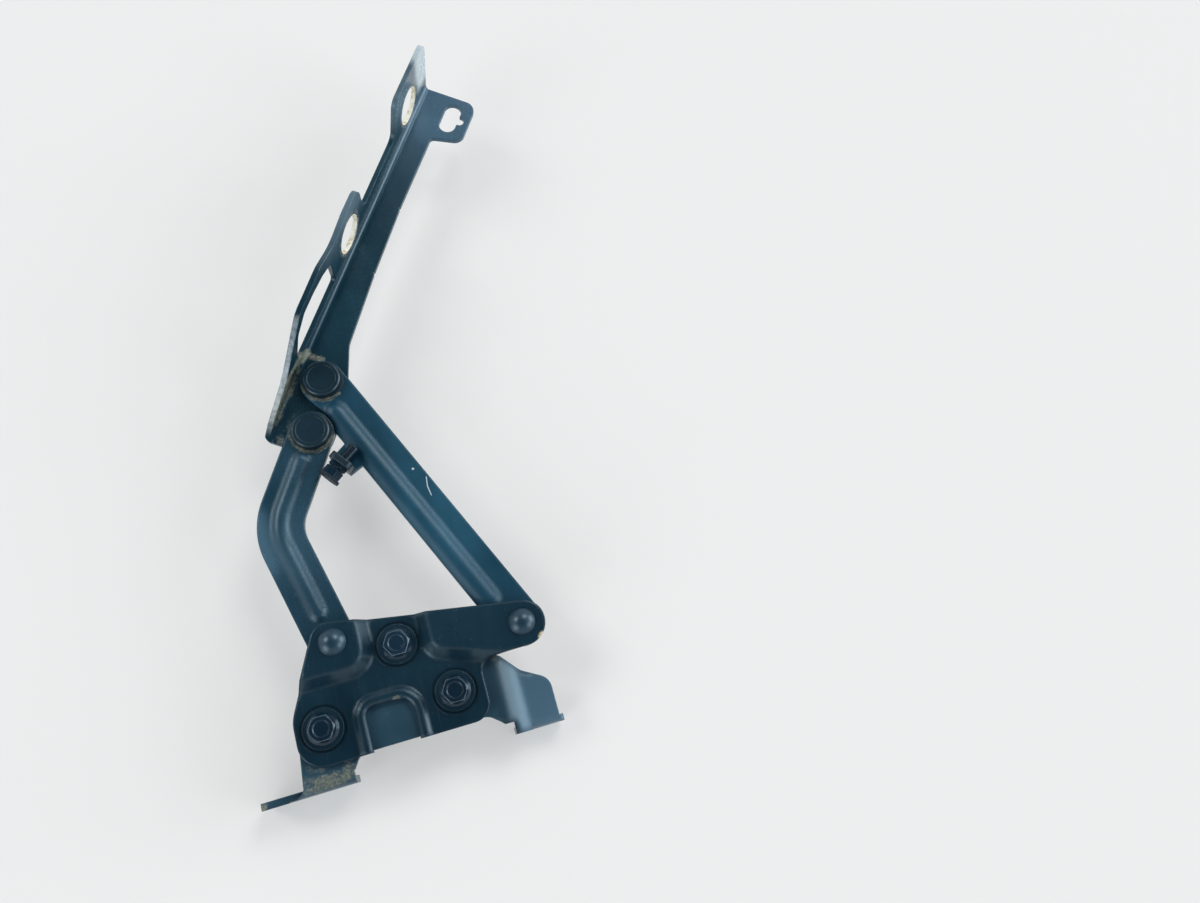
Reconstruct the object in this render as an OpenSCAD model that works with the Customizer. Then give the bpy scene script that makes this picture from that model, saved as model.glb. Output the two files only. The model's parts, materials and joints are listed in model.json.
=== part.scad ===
// Bonnet hinge: a four-bar hinge of pressed sheet, one side of a handed pair.
// Millimetres. X runs along the body mounting face, Y away from that face, Z out of the sheets.
// The origin is midway between the two body bolt holes, on the mounting face and the hole axes.

/* [Sheets] */
// sheet thickness of the body bracket
bracket_t = 4; // [3:0.1:4.5]
// sheet thickness of the pivot plate
plate_t = 3; // [2.5:0.1:3.5]
// sheet thickness of both links
link_t = 4; // [3.5:0.1:4.5]
// sheet thickness of the bonnet arm
arm_t = 3; // [2.5:0.1:3.5]

/* [Body mounting] */
// distance between the two body bolt holes
mount_spacing = 142; // [138:0.5:146]
// diameter of a body bolt hole
mount_hole_d = 9; // [8.4:0.1:10]
// height of the pivot plate seat above the hole axes
seat_z = 21; // [20:0.5:23]
// depth of the flanges below the hole axes
flange_below = 9; // [8:0.5:12]
// step of the front tab below the seat
tab_drop = 8; // [6:0.5:9]

/* [Pivots] */
// rear lower pivot along the face
pivot_a_x = -29; // [-30:0.5:-28]
// rear lower pivot above the face
pivot_a_y = 75; // [74:0.5:76]
// front lower pivot along the face
pivot_b_x = 73.5; // [72.5:0.5:74.5]
// front lower pivot above the face
pivot_b_y = 58; // [57:0.5:59]
// rear upper pivot from the rear lower one, along the face
short_run = 13; // [12:0.5:14]
// rear upper pivot from the rear lower one, away from the face
short_rise = 123; // [122:0.5:124]
// front upper pivot from the rear upper one, along the face
upper_run = 12.5; // [11.5:0.5:13.5]
// front upper pivot from the rear upper one, away from the face
upper_rise = 30; // [29:0.5:31]
// play between a pivot pin and its bush, on the radius
running_play = 0.05; // [0.02:0.01:0.1]
// play between faces that slide on each other
face_play = 0.2; // [0.1:0.05:0.3]
// space between a link and the arm, for the collar of a bush
collar_t = 1; // [0.8:0.1:1.5]

/* [Links] */
// width of both links
link_w = 26; // [24:0.5:27]
// bend point of the short link behind its lower pivot
bow_back = 17.4; // [16:0.2:19]
// bend point of the short link above its lower pivot
bow_rise = 71.2; // [69:0.2:73]
// centre line radius of the short link at its bend
bow_r = 33; // [30:0.5:36]
// width of the bead pressed into the short link
bead_w = 11; // [9:0.5:12]
// width of the bead pressed into the long link
long_bead_w = 14; // [12:0.5:14]
// distance of that bead from the centre line of the long link
long_bead_in = 5.4; // [5:0.1:5.8]
// height of a bead above the sheet
bead_h = 2.6; // [2:0.1:3]
// space above a bead, under the pivot plate and beside a washer
bead_room = 0.3; // [0.2:0.1:0.5]
// space kept round the rear upper pivot in the edge of the long link
scallop_gap = 0.6; // [0.5:0.1:1]

/* [Lower pivot rivets] */
// shank diameter of the lower rivets
rivet_d = 9; // [8:0.5:10]
// head diameter of the lower rivets
rivet_head_d = 15.2; // [14:0.2:16]
// head height of the lower rivets
rivet_head_h = 4.6; // [4:0.1:5]

/* [Upper pivot pins] */
// shank diameter of the upper pins
pin_d = 9; // [8:0.5:10]
// head diameter of the upper pins
pin_head_d = 21.6; // [20:0.2:23]
// head height of the upper pins
pin_head_h = 4.6; // [4:0.1:6]
// travel of the front pin in its long hole
open_travel = 6.2; // [6:0.1:7]
// side play of the front pin in its long hole
open_play = 1.7; // [1.5:0.1:2]

/* [Plate bolts] */
// thread diameter of the plate bolts
bolt_d = 8; // [8:0.1:8.4]
// width across the flats of the plate bolts
bolt_af = 13; // [12:0.5:13]
// washer diameter
bolt_washer_d = 22; // [21:0.5:23]
// adjusting hole in the pivot plate
adjust_hole_d = 13; // [11:0.5:15]

/* [Bonnet arm] */
// direction of the arm's bend line from the mounting face
arm_angle = 56.6; // [56:0.1:57]
// start of the arm's bend line behind the rear upper pivot
arm_back = 22.6; // [22:0.1:23]
// start of the arm's bend line above the rear upper pivot
arm_over = 2.4; // [2:0.1:3]
// inside radius of the arm's bend
arm_bend_r = 3; // [2.5:0.1:3.5]
// height of the bonnet flange above the web
flange_h = 40; // [39:0.5:42]
// length of the bonnet flange
flange_end = 268.8; // [266:0.2:272]
// diameter of a bonnet bolt hole
bonnet_hole_d = 25; // [22:0.5:25.5]
// rear bonnet bolt hole from the start of the bend line
bonnet_hole_rear = 133.8; // [132:0.2:135]
// front bonnet bolt hole from the start of the bend line
bonnet_hole_front = 236.5; // [235:0.5:238]
// how much higher the rear bonnet bolt hole sits than the front one
bonnet_hole_step = 2.4; // [1:0.1:3]

/* [Stop screw] */
// place of the stop screw along the long link
stop_along = 49.2; // [48.5:0.1:50]
// distance of the stop lug from the link's centre line
stop_out = 21.5; // [21.5:0.1:22]
// thread diameter of the stop screw
stop_d = 6; // [5:0.5:6]
// diameter of the stop pad
stop_pad_d = 14; // [12:0.5:14]

/* [Hidden] */
$fn = 96;
pivot_a = [pivot_a_x, pivot_a_y];
pivot_b = [pivot_b_x, pivot_b_y];
pivot_c = pivot_a + [short_run, short_rise];
pivot_d = pivot_c + [upper_run, upper_rise];
bow = pivot_a + [-bow_back, bow_rise];
arm_start = pivot_c + [-arm_back, arm_over];

// heights of the layers, from the body bracket up
link_lift = 0.5;
link_z = seat_z + link_lift;
link_top = link_z + link_t;
web_top = link_z - collar_t;
web_z = web_top - arm_t;
pivot_space = bead_h + bead_room;
rise = link_lift + link_t + pivot_space;
raised_z = seat_z + rise;
raised_top = raised_z + plate_t;
floor_z = -flange_below;

// body bracket
bracket_bend_r = 3;
bracket_bend_out = bracket_bend_r + bracket_t;
foot_left = -mount_spacing / 2 - 13.5;
foot_plate_left = -60;
foot_right = -33;
tab_right = mount_spacing / 2 + 11;
tab_flange_right = tab_right + 3;
tab_flange_left = 56;
tab_top_z = seat_z - tab_drop;
tab_step_start = 53.5;
tab_step_end = 65.5;

// pivot plate
plate_bottom = 12.5;
notch_left = -20.5;
notch_right = 5;
notch_top = 36.5;
notch_corner_left = 5;
notch_corner_right = 8;
rim_w = 7.5;
rim_h = 2.2;
// how far the notch cuts into the rim
rim_lap = 0.7;
joggle_run = 6.4;
// how much the round corner of a joggle stays inside its straight edges
corner_ease = 0.02;
joggle_inset = plate_t * (norm([joggle_run, rise]) - joggle_run) / rise;

// plate bolts
bolt_top = [4, 65.3];
bolt_front = [28.7, 32];
bolt_rear = [-43.6, 32];
bolt_seat_depth = 0.6;
washer_t = 2;
bolt_flange_t = 1.6;
bolt_hex_h = 5.6;
washer_z = seat_z + plate_t - bolt_seat_depth;
head_z = washer_z + washer_t;
nut_h = 6.5;
nut_z = seat_z - bracket_t - nut_h;

// lower pivots
bush_wall = 2;
bush_collar_d = 20;
tail_washer_t = 1.5;
tail_h = 3;
rivet_tail_z = link_z - face_play - tail_washer_t - tail_h;

// upper pivots
pin_washer_t = 1;
pin_washer_r = link_w / 2 - 0.8;
pin_tail_z = web_z - face_play - tail_washer_t - tail_h;
arm_bush_wall = 2.5;

// start of the groove behind the long link's bead, past the scallop
groove_start = 38;

// short link centre line
bow_in = unit(pivot_c - bow);
bow_out = unit(pivot_a - bow);
bow_half = acos(bow_in * bow_out) / 2;
bow_run = bow_r / tan(bow_half);
bow_centre = bow + unit(bow_in + bow_out) * bow_r / sin(bow_half);
bow_start = bow + bow_in * bow_run;
bow_end = bow + bow_out * bow_run;
bow_from = heading(bow_centre, bow_start);
bow_turn = 180 - 2 * bow_half;

// place of the rear upper pivot on the long link when the two have passed each other
pass_fold = 12;
pass_ratio = 0.57;
pivot_c_past = pivot_b + turned(pivot_a + turned(pivot_c - pivot_a, pass_fold) - pivot_b, -pass_ratio * pass_fold);

// long link frame: x from the upper to the lower pivot, y to the outer edge
long_len = norm(pivot_b - pivot_d);
long_angle = heading(pivot_d, pivot_b);

// stop screw, in the frame of its lug: the head points to -y
stop_tilt = 13.7;
stop_z = link_top + stop_d / 2 + 1.6;
lug_t = link_t;
lug_w = 14.6;
lug_h = stop_d / 2 + 8.2;
stop_nut_h = 3.2;
stop_nut_af = 10;
stop_head_h = 5;
stop_pad_t = 1.6;
stop_shank_left = 0.4;
stop_thread_end = 11.8;

// bonnet arm, in the frame of its bend line: x along it, y to the flange side
pivot_c_arm = into_arm(pivot_c);
pivot_d_arm = into_arm(pivot_d);
arm_low = pivot_c_arm[0] - 12.2;
tab_end = flange_end - 4.3;
gap_floor = web_top + 13.8;
arm_bend_z = web_top + arm_bend_r;
flange_in = arm_bend_r;
flange_top = web_top + flange_h;
bonnet_hole_z = arm_bend_z + bonnet_hole_d / 2 + 0.2;
slot_heading = -90.5 - arm_angle;

function unit(v) = v / norm(v);
function heading(p, q) = atan2(q[1] - p[1], q[0] - p[0]);
function polar(r, a) = [r * cos(a), r * sin(a)];
function turned(v, a) = [v[0] * cos(a) - v[1] * sin(a), v[0] * sin(a) + v[1] * cos(a)];
function into_arm(p) = turned(p - arm_start, -arm_angle);
function short_way(a) = a > 180 ? a - 360 : (a < -180 ? a + 360 : a);

// arc that rounds the corner q between p and n to the radius r
function corner(p, q, n, r) =
  let (a = unit(p - q))
  let (b = unit(n - q))
  let (half = acos(a * b) / 2)
  let (c = q + unit(a + b) * r / sin(half))
  let (from = heading(c, q + a * r / tan(half)))
  let (sweep = short_way(heading(c, q + b * r / tan(half)) - from))
  let (steps = max(2, ceil(abs(sweep) / 9)))
  [for (i = [0 : steps]) c + polar(r, from + sweep * i / steps)];

// outline of [x, y, corner radius] points
function at(list, i) = list[(i + len(list)) % len(list)];
function xy(p) = [p[0], p[1]];
function rounded(list) =
  [for (i = [0 : len(list) - 1])
    each (list[i][2] == 0 ? [xy(list[i])]
      : corner(xy(at(list, i - 1)), xy(list[i]), xy(at(list, i + 1)), list[i][2]))];

module place(p, z = 0) {
  translate([p[0], p[1], z]) children();
}

// upright prism of an outline of [x, y, corner radius] points
module slab(list, z, h) {
  translate([0, 0, z]) linear_extrude(h) polygon(rounded(list));
}

// flat strip of the width w from p to q
module strip(p, q, w) {
  place(p) rotate(heading(p, q)) translate([0, -w / 2]) square([norm(q - p), w]);
}

module tube(h, r_out, r_in) {
  difference() {
    cylinder(h = h, r = r_out);
    translate([0, 0, -1]) cylinder(h = h + 2, r = r_in);
  }
}

module hexagon(af, h) {
  cylinder(h = h, r = af / 2 / cos(30), $fn = 6);
}

// hexagon with its top edge turned off
module hex_head(af, h) {
  intersection() {
    hexagon(af, h);
    cylinder(h = h, r1 = af / 2 + h, r2 = af / 2 - 0.3);
  }
}

// swaged end of a rivet or pin, widest at its top
module tail(z, d) {
  translate([0, 0, z]) cylinder(h = tail_h, r1 = d * 0.6, r2 = d * 0.85);
}

// section of a pressed bead: a foot in the sheet, a soft slope on each side and a flat top
module bead_section(w, h, foot, half = false) {
  right = [[w * 0.09, h], [w * 0.2, h * 0.9], [w * 0.31, h * 0.62], [w * 0.4, h * 0.27],
    [w / 2, 0], [w / 2, -foot]];
  left = [for (i = [5 : -1 : 0]) [-right[i][0], right[i][1]]];
  polygon(concat(half ? [[0, -foot], [0, h]] : left, right));
}

// straight stretch of a bead from p to q
module bead_run(p, q, w, h, z, foot) {
  place(p, z) rotate(heading(p, q)) rotate([90, 0, 90]) linear_extrude(norm(q - p)) bead_section(w, h, foot);
}

// stretch of a bead about the centre c, from the heading a through the angle turn
module bead_bend(c, ring_r, w, h, z, foot, a, turn) {
  place(c, z) rotate(a) rotate_extrude(angle = turn) translate([ring_r, 0]) bead_section(w, h, foot);
}

// round end of a bead
module bead_end(p, w, h, z, foot) {
  place(p, z) rotate_extrude() bead_section(w, h, foot, true);
}

// pressed bead along the short link, or the groove behind it
module short_bead(w, h, z, foot) {
  from = pivot_c - bow_in * (pin_washer_r + bead_w / 2 + bead_room);
  to = pivot_a - bow_out * (bush_collar_d / 2 + bead_w / 2 + 3.5);
  bead_run(from, bow_start, w, h, z, foot);
  bead_run(bow_end, to, w, h, z, foot);
  bead_bend(bow_centre, bow_r, w, h, z, foot, bow_from, bow_turn);
  bead_end(from, w, h, z, foot);
  bead_end(to, w, h, z, foot);
}

// pressed bead along the long link, or the groove behind it, from the distance start on
module long_bead(w, h, z, foot, start) {
  along = unit(pivot_b - pivot_d);
  aside = turned(along, -90) * long_bead_in;
  from = pivot_d + aside + along * start;
  to = pivot_b + aside - along * (bush_collar_d / 2 + long_bead_w / 2 + 4.5);
  bead_run(from, to, w, h, z, foot);
  bead_end(from, w, h, z, foot);
  bead_end(to, w, h, z, foot);
}

module short_shape() {
  strip(pivot_c, bow_start, link_w);
  strip(bow_end, pivot_a, link_w);
  place(pivot_c) circle(d = link_w);
  place(pivot_a) circle(d = link_w);
  intersection() {
    place(bow_centre) difference() {
      circle(r = bow_r + link_w / 2);
      circle(r = bow_r - link_w / 2);
    }
    polygon([bow_centre, bow_centre + (bow_start - bow_centre) * 3, bow + (bow - bow_centre) * 2,
      bow_centre + (bow_end - bow_centre) * 3]);
  }
}

module short_link() {
  color("#20303f") difference() {
    union() {
      translate([0, 0, link_z]) linear_extrude(link_t) short_shape();
      short_bead(bead_w, bead_h, link_top, 0.5);
    }
    short_bead(bead_w - 4, link_t - 0.4, link_z, 0.5);
    place(pivot_a, link_z - 1) cylinder(h = link_t + 2, r = rivet_d / 2 + bush_wall);
    place(pivot_c, link_z - 1) cylinder(h = link_t + 2, d = pin_d);
  }
}

// frame of the long link
module on_long() {
  place(pivot_d) rotate(long_angle) children();
}

// frame of the stop screw
module on_stop() {
  on_long() translate([stop_along, -stop_out]) rotate(stop_tilt) children();
}

module stop_lug() {
  on_stop() {
    translate([0, lug_t / 2, link_z]) rotate([90, 0, 0])
      linear_extrude(lug_t)
        polygon(rounded([[-lug_w / 2, 0, 0], [lug_w / 2, 0, 0],
          [lug_w / 2, link_t + lug_h, 4], [-lug_w / 2, link_t + lug_h, 4]]));
    slab([[-lug_w / 2, -lug_t / 2, 0.8], [lug_w / 2, -lug_t / 2, 0.8], [10, 11.5, 0], [-lug_w / 2, 11.5, 0]],
      link_z, link_t);
  }
}

module long_link() {
  color("#20303f") difference() {
    union() {
      translate([0, 0, link_z]) linear_extrude(link_t) {
        strip(pivot_d, pivot_b, link_w);
        place(pivot_d) circle(d = link_w);
        place(pivot_b) circle(d = link_w);
      }
      long_bead(long_bead_w, bead_h, link_top, 0.2, pin_washer_r + long_bead_w / 2 + 1.3);
      stop_lug();
    }
    long_bead(long_bead_w - 4, link_t - 0.4, link_z, 0.5, groove_start);
    translate([0, 0, link_z - 1]) linear_extrude(link_t + 30) {
      place(pivot_c) circle(r = link_w / 2 + scallop_gap);
      place(pivot_c_past) circle(r = link_w / 2 + scallop_gap);
      strip(pivot_c, pivot_c_past, link_w + 2 * scallop_gap);
    }
    place(pivot_b, link_z - 1) cylinder(h = link_t + 2, r = rivet_d / 2 + bush_wall);
    place(pivot_d, link_z - 1) cylinder(h = link_t + 2, d = pin_d);
    on_stop() translate([0, lug_t, stop_z]) rotate([90, 0, 0]) cylinder(h = 2 * lug_t, d = stop_d);
  }
}

module stop_screw() {
  head_at = lug_t / 2 + stop_nut_h + stop_shank_left;
  color("#1b2430") on_stop() translate([0, 0, stop_z]) rotate([90, 0, 0]) {
    translate([0, 0, -stop_thread_end + 0.8])
      cylinder(h = stop_thread_end - 0.8 + head_at, d = stop_d);
    translate([0, 0, -stop_thread_end]) cylinder(h = 0.8, r1 = stop_d / 2 - 0.8, r2 = stop_d / 2);
    translate([0, 0, head_at]) hexagon(stop_nut_af, stop_head_h);
  }
}

module stop_nut() {
  color("#1b2430") on_stop() translate([0, -lug_t / 2, stop_z]) rotate([90, 0, 0]) difference() {
    hex_head(stop_nut_af, stop_nut_h);
    translate([0, 0, -1]) cylinder(h = stop_nut_h + 2, d = stop_d);
  }
}

module stop_pad() {
  from = lug_t / 2 + stop_nut_h + stop_shank_left + stop_head_h;
  color("#15181c") on_stop() translate([0, -from, stop_z]) rotate([90, 0, 0])
    cylinder(h = stop_pad_t, d = stop_pad_d);
}

// Plateau of a joggle: its corner about c with the radius r at the top, and two straight edges.
// side_1 and side_2 are 1 where the edge is on the left of its heading and -1 on the right.
module plateau(c, r, head_1, side_1, head_2, side_2, z, h) {
  reach = 160;
  place(c, z) {
    cylinder(h = h, r1 = r + joggle_run - corner_ease, r2 = r - corner_ease);
    rotate(head_1) plateau_edge(r, side_1, h, reach);
    rotate(head_2) plateau_edge(r, side_2, h, reach);
    linear_extrude(h)
      polygon([[0, 0], polar(reach, head_1), polar(reach, head_1) + polar(reach, head_2), polar(reach, head_2)]);
  }
}

module plateau_edge(r, side, h, reach) {
  rotate([90, 0, 90]) linear_extrude(reach)
    polygon([[0, 0], [side * (r + joggle_run), 0], [side * r, h], [0, h]]);
}

// the two raised pivot zones of the plate; inset is the step in to the underside
module raised_zones(inset, z) {
  plateau(pivot_a + [4.9, -6.5], 9 - inset, 90, -1, 180, 1, z, rise);
  plateau(pivot_b + [-44, 4.5], 6.4 - inset, 90, 1, -19, -1, z, rise);
}

module plate_outline() {
  difference() {
    polygon(rounded([[-58.6, plate_bottom, 14], [45.5, plate_bottom, 10], [45.5, 40, 6], [51.5, 44.6, 3],
      [pivot_b[0] + 13.4, pivot_b[1] - 13.4, 13], [pivot_b[0] + 13, pivot_b[1] + 10, 12],
      [pivot_a[0] - 7.8, pivot_a[1] + 12.4, 9.5], [-58.6, 40, 20]]));
    notch_cut();
  }
}

module notch_cut() {
  polygon(rounded([[notch_left, plate_bottom - 5, 0], [notch_right, plate_bottom - 5, 0],
    [notch_right, notch_top, notch_corner_right], [notch_left, notch_top, notch_corner_left]]));
}

// rim pressed up round the notch
module notch_rim() {
  step = rim_w / 2 - rim_lap;
  left = notch_left - step;
  right = notch_right + step;
  top = notch_top + step;
  r_left = notch_corner_left + step;
  r_right = notch_corner_right + step;
  z = seat_z + plate_t;
  foot = 0.5;
  bead_run([left, plate_bottom - 4], [left, top - r_left], rim_w, rim_h, z, foot);
  bead_bend([left + r_left, top - r_left], r_left, rim_w, rim_h, z, foot, 90, 90);
  bead_run([left + r_left, top], [right - r_right, top], rim_w, rim_h, z, foot);
  bead_bend([right - r_right, top - r_right], r_right, rim_w, rim_h, z, foot, 0, 90);
  bead_run([right, plate_bottom - 4], [right, top - r_right], rim_w, rim_h, z, foot);
}

module pivot_plate() {
  color("#1d2c3a") difference() {
    intersection() {
      translate([0, 0, seat_z]) linear_extrude(rise + plate_t + rim_h) plate_outline();
      union() {
        translate([-80, 0, seat_z]) cube([190, 110, plate_t]);
        raised_zones(0, seat_z + plate_t);
        notch_rim();
      }
    }
    raised_zones(joggle_inset, seat_z);
    for (p = [bolt_top, bolt_front, bolt_rear]) {
      place(p, seat_z - 1) cylinder(h = plate_t + 2, d = adjust_hole_d);
      place(p, washer_z) cylinder(h = bolt_seat_depth + 0.01, d = bolt_washer_d + 3);
    }
    place(pivot_a, raised_z - 1) cylinder(h = plate_t + 2, d = rivet_d);
    place(pivot_b, raised_z - 1) cylinder(h = plate_t + 2, d = rivet_d);
  }
}

// sheet of the body bracket seen along Y: the seat, the step down and the front tab
module sheet_profile() {
  polygon(rounded([[-90, seat_z - bracket_t, 0], [tab_step_start - 1.3, seat_z - bracket_t, 2],
    [tab_step_end - 1.3, tab_top_z - bracket_t, 6], [tab_right, tab_top_z - bracket_t, 0],
    [tab_right, tab_top_z, 0], [tab_step_end, tab_top_z, 2], [tab_step_start, seat_z, 6], [-90, seat_z, 0]]));
}

module bracket_sheet() {
  translate([0, 100, 0]) rotate([90, 0, 0]) linear_extrude(100 - bracket_bend_out) sheet_profile();
}

// the step carried on to the mounting face, with the flange below it
module step_flange() {
  wide = tab_step_end - tab_flange_left;
  translate([0, bracket_bend_out, 0]) rotate([90, 0, 0]) linear_extrude(bracket_bend_out) intersection() {
    sheet_profile();
    translate([tab_flange_left, floor_z]) square([wide, seat_z - floor_z]);
  }
  translate([0, bracket_t, 0]) rotate([90, 0, 0]) linear_extrude(bracket_t)
    polygon(rounded([[tab_flange_left, floor_z, 5], [tab_step_end, floor_z, 0], [tab_step_end, tab_top_z - 2, 0],
      [tab_flange_left, tab_top_z - 2 + wide * tab_drop / (tab_step_end - tab_step_start), 0]]));
}

module bracket_outline() {
  polygon(rounded([[foot_plate_left, bracket_bend_out - 1, 0], [foot_right, bracket_bend_out - 1, 0],
    [foot_right + 5, 13.8, 6], [43, 13.8, 8], [49, 9, 5], [52, bracket_bend_out - 1, 0],
    [tab_right, bracket_bend_out - 1, 0], [tab_right, 25, 9], [67, 33.5, 10], [56, 45.5, 8], [33, 47.5, 8],
    [18.5, 54, 6], [17, 78, 6], [-8.6, 79.5, 6], [-10, 60, 9], [-26, 53, 9], [-49, 52.5, 9], [-57, 38, 12]]));
}

// flange from the bend down to the floor line, and the bend where the plate meets it
module mount_flange(x_low, x_high, bend_low, bend_high, plate_z) {
  bend_z = plate_z - bracket_bend_out;
  translate([x_low, 0, floor_z]) cube([x_high - x_low, bracket_t, bend_z - floor_z]);
  translate([bend_low, bracket_bend_out, bend_z]) rotate([90, 0, 90]) linear_extrude(bend_high - bend_low)
    intersection() {
      difference() {
        circle(r = bracket_bend_out);
        circle(r = bracket_bend_r);
      }
      translate([-bracket_bend_out, 0]) square(bracket_bend_out);
    }
}

// the corners of a flange end rounded in its plane, and the inner lower one cut off
module flange_trim(x_low, x_high, top, cut) {
  translate([0, bracket_t + 1, 0]) rotate([90, 0, 0]) linear_extrude(bracket_t + 2)
    polygon(rounded([[x_low, floor_z, 5], [x_high - cut, floor_z, 4], [x_high, floor_z + cut, 4], [x_high, top, 3],
      [x_low, top, 3]]));
}

module body_bracket() {
  color("#26333c") difference() {
    union() {
      intersection() {
        bracket_sheet();
        translate([0, 0, floor_z]) linear_extrude(seat_z - floor_z + 1) bracket_outline();
      }
      intersection() {
        mount_flange(foot_left, foot_right, foot_plate_left - 9, foot_right, seat_z);
        union() {
          flange_trim(foot_left, foot_right, seat_z - bracket_bend_out, 6);
          slab([[foot_right, -1, 0], [foot_right, bracket_bend_out, 0], [foot_plate_left, bracket_bend_out, 0],
            [foot_plate_left, 1, 5], [foot_plate_left - 9, 1, 0], [foot_plate_left - 9, -1, 0]], 0, seat_z + 1);
        }
      }
      step_flange();
      intersection() {
        mount_flange(tab_flange_left, tab_flange_right, tab_step_end, tab_right, tab_top_z);
        union() {
          flange_trim(tab_flange_left, tab_flange_right, tab_top_z - bracket_bend_out, 3);
          translate([tab_step_end, 0, 0]) cube([tab_right - tab_step_end, bracket_bend_out, tab_top_z + 1]);
        }
      }
    }
    for (p = [bolt_top, bolt_front, bolt_rear])
      place(p, seat_z - bracket_t - 1) cylinder(h = bracket_t + 2, d = bolt_d + 1);
    for (x = [-mount_spacing / 2, mount_spacing / 2])
      translate([x, -1, 0]) rotate([-90, 0, 0]) cylinder(h = bracket_t + 2, d = mount_hole_d);
  }
}

module plate_bolt(p) {
  color("#161d26") place(p) difference() {
    union() {
      translate([0, 0, head_z]) cylinder(h = bolt_flange_t, r1 = bolt_af * 0.68, r2 = bolt_af * 0.56);
      translate([0, 0, head_z + bolt_flange_t]) hex_head(bolt_af, bolt_hex_h);
      translate([0, 0, nut_z - 1.2]) cylinder(h = 1.2, r1 = bolt_d / 2 - 1.2, r2 = bolt_d / 2);
      translate([0, 0, nut_z]) cylinder(h = head_z - nut_z + 0.5, d = bolt_d);
    }
    translate([0, 0, head_z + bolt_flange_t + bolt_hex_h - 0.7])
      cylinder(h = 1, r1 = bolt_af * 0.3, r2 = bolt_af * 0.38);
  }
}

module plate_washer(p) {
  color("#1a222b") place(p, washer_z) tube(washer_t, bolt_washer_d / 2, bolt_d / 2);
}

module weld_nut(p) {
  color("#3a3f45") place(p, nut_z) difference() {
    union() {
      hexagon(bolt_af, nut_h);
      translate([0, 0, nut_h - 1.5]) cylinder(h = 1.5, r = bolt_af * 0.72);
    }
    translate([0, 0, -1]) cylinder(h = nut_h + 2, d = bolt_d);
  }
}

// domed rivet through the plate, the bush and the link
module lower_rivet(p) {
  dome_r = (rivet_head_d * rivet_head_d / 4 + rivet_head_h * rivet_head_h) / (2 * rivet_head_h);
  color("#1d2a36") place(p) {
    intersection() {
      translate([0, 0, raised_top + rivet_head_h - dome_r]) sphere(r = dome_r);
      translate([0, 0, raised_top]) cylinder(h = rivet_head_h + 1, d = rivet_head_d);
    }
    translate([0, 0, rivet_tail_z + tail_h]) cylinder(h = raised_top - rivet_tail_z - tail_h + 0.5, d = rivet_d);
    tail(rivet_tail_z, rivet_d);
  }
}

module lower_tail_washer(p) {
  color("#2a3138") place(p, rivet_tail_z + tail_h) tube(tail_washer_t, rivet_d + 0.5, rivet_d / 2);
}

// flanged bush in the lower end of a link
module lower_bush(p) {
  color("#4a4338") place(p) difference() {
    union() {
      translate([0, 0, link_z]) cylinder(h = link_t, r = rivet_d / 2 + bush_wall);
      translate([0, 0, link_top]) cylinder(h = pivot_space - face_play, d = bush_collar_d);
    }
    translate([0, 0, link_z - 1]) cylinder(h = link_t + pivot_space + 2, r = rivet_d / 2 + running_play);
  }
}

// upper pin with its large flat head
module upper_pin(p) {
  top = link_top + pin_washer_t;
  color("#1a2733") place(p) difference() {
    union() {
      translate([0, 0, top]) cylinder(h = pin_head_h - 0.8, d = pin_head_d);
      translate([0, 0, top + pin_head_h - 0.8])
        cylinder(h = 0.8, r1 = pin_head_d / 2, r2 = pin_head_d / 2 - 0.8);
      translate([0, 0, pin_tail_z + tail_h]) cylinder(h = top - pin_tail_z - tail_h + 0.5, d = pin_d);
      tail(pin_tail_z, pin_d);
    }
    translate([0, 0, top + pin_head_h - 0.3]) cylinder(h = 1, r = pin_head_d / 2 - 2.6);
  }
}

module upper_washer(p) {
  color("#27323b") place(p, link_top) tube(pin_washer_t, pin_washer_r, pin_d / 2);
}

module upper_tail_washer(p) {
  color("#2a3138") place(p, pin_tail_z + tail_h) tube(tail_washer_t, pin_d / 2 + 7, pin_d / 2);
}

// flanged bush of the arm on the rear upper pin
module arm_bush() {
  color("#4a4338") place(pivot_c) difference() {
    union() {
      translate([0, 0, web_z]) cylinder(h = arm_t, r = pin_d / 2 + arm_bush_wall);
      translate([0, 0, web_top]) cylinder(h = collar_t - face_play, d = bush_collar_d + 2);
    }
    translate([0, 0, web_z - 1]) cylinder(h = arm_t + collar_t + 2, r = pin_d / 2 + running_play);
  }
}

// ring between the long link and the arm
module front_spacer() {
  color("#2a3138") place(pivot_d, web_top + face_play) tube(collar_t - face_play, pin_d / 2 + 7, pin_d / 2);
}

// frame of the bonnet arm
module on_arm() {
  place(arm_start) rotate(arm_angle) children();
}

module arm_web() {
  c = pivot_c_arm;
  d = pivot_d_arm;
  slab([[arm_low, 0, 0], [arm_low, c[1] - 12.8, 12], [d[0] - 6.4, d[1] - 17.9, 9], [d[0] + 10.6, d[1] - 11.3, 12],
    [d[0] + 29.6, d[1] - 4.5, 20], [123, -15.5, 0], [173, -13.9, 0], [229, -14.2, 3], [234, -33.7, 7],
    [tab_end, -33.7, 7], [tab_end, 0, 0]], web_z, arm_t);
}

// free edge of the bonnet flange, in the plane of the flange
module flange_profile() {
  polygon(rounded([[arm_low, web_z - 1, 0], [tab_end, web_z - 1, 0], [tab_end, web_top, 0],
    [flange_end - 1.8, arm_bend_z, 3], [flange_end, flange_top, 7], [217.5, flange_top + 0.4, 7],
    [210.5, gap_floor, 7], [156.5, gap_floor, 5], [154, flange_top - 0.5, 8], [134, flange_top - 0.5, 20], [113.5, flange_top - 4.3, 30],
    [95, flange_top + 1.2, 20], [64.5, flange_top, 12], [33, web_top + 12.9, 50], [4, web_top + 0.8, 20],
    [arm_low, web_top - 0.6, 0]]));
}

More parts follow.
